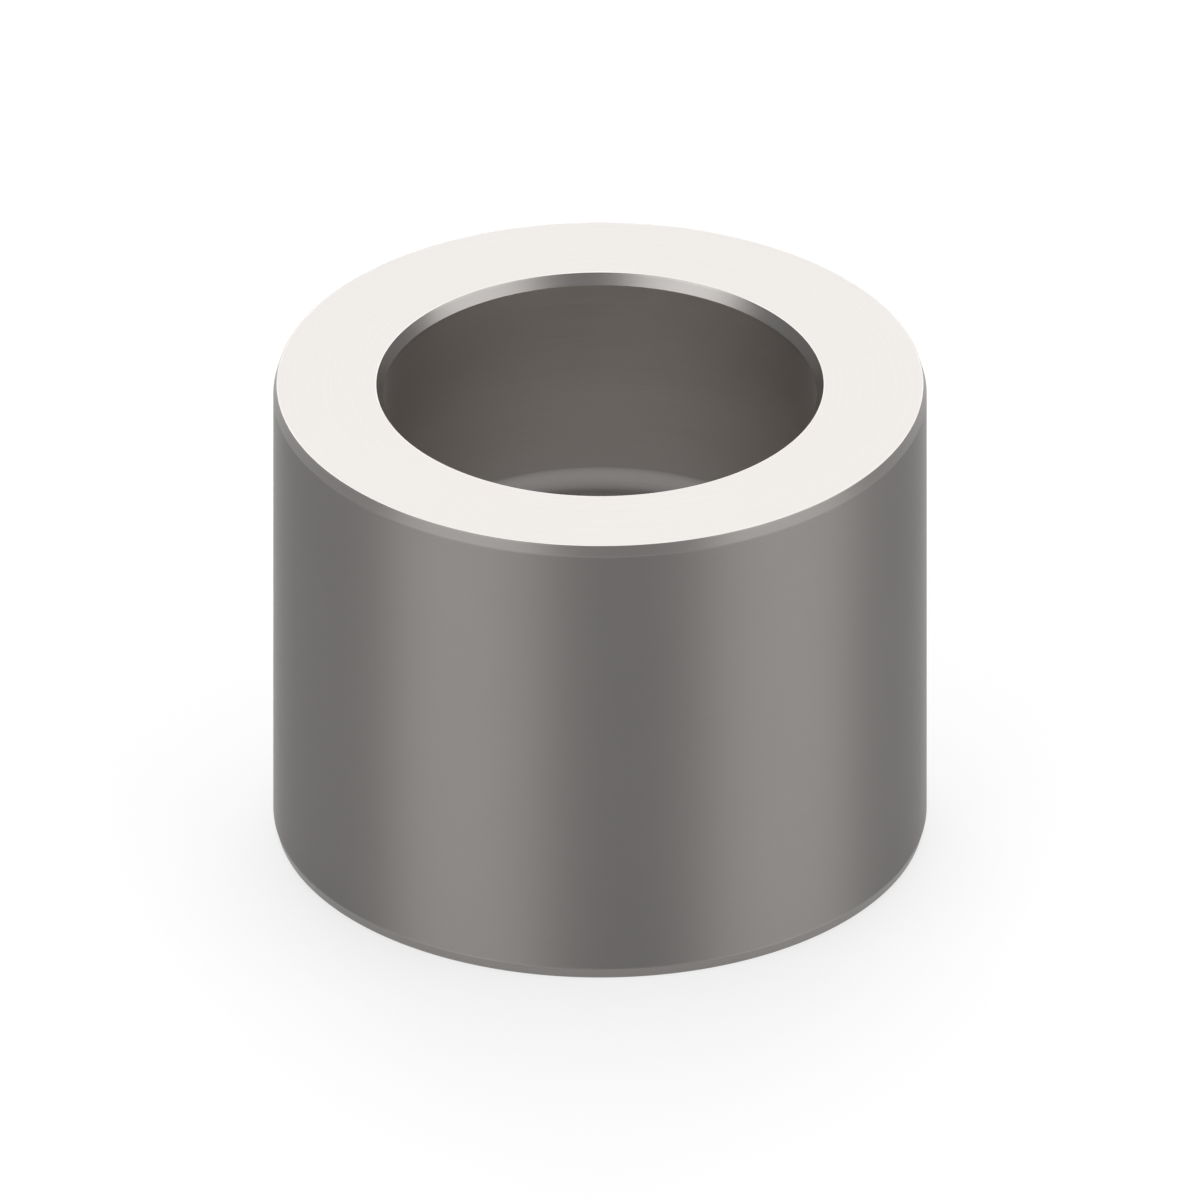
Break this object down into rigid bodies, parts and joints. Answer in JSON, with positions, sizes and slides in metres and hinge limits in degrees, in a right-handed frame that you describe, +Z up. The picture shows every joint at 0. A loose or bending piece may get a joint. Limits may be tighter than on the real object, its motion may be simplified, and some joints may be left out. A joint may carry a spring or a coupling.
{
  "type": "steel bushing",
  "caption": "Short thick-walled turned steel bushing with chamfered ends, whose straight bore opens through a rounded shoulder into a wider relief bore.",
  "frame": {"origin": "centre of the bottom face, on the bore's axis", "axes": "+Z up along the bore's axis, from the relief end to the land end"},
  "size_m": [0.0302, 0.0302, 0.023],
  "materials": {
    "steel": "bare steel, fine turned and ground to a satin sheen"
  },
  "bodies": {
    "root": {"bushing": "steel"}
  },
  "joints": []
}
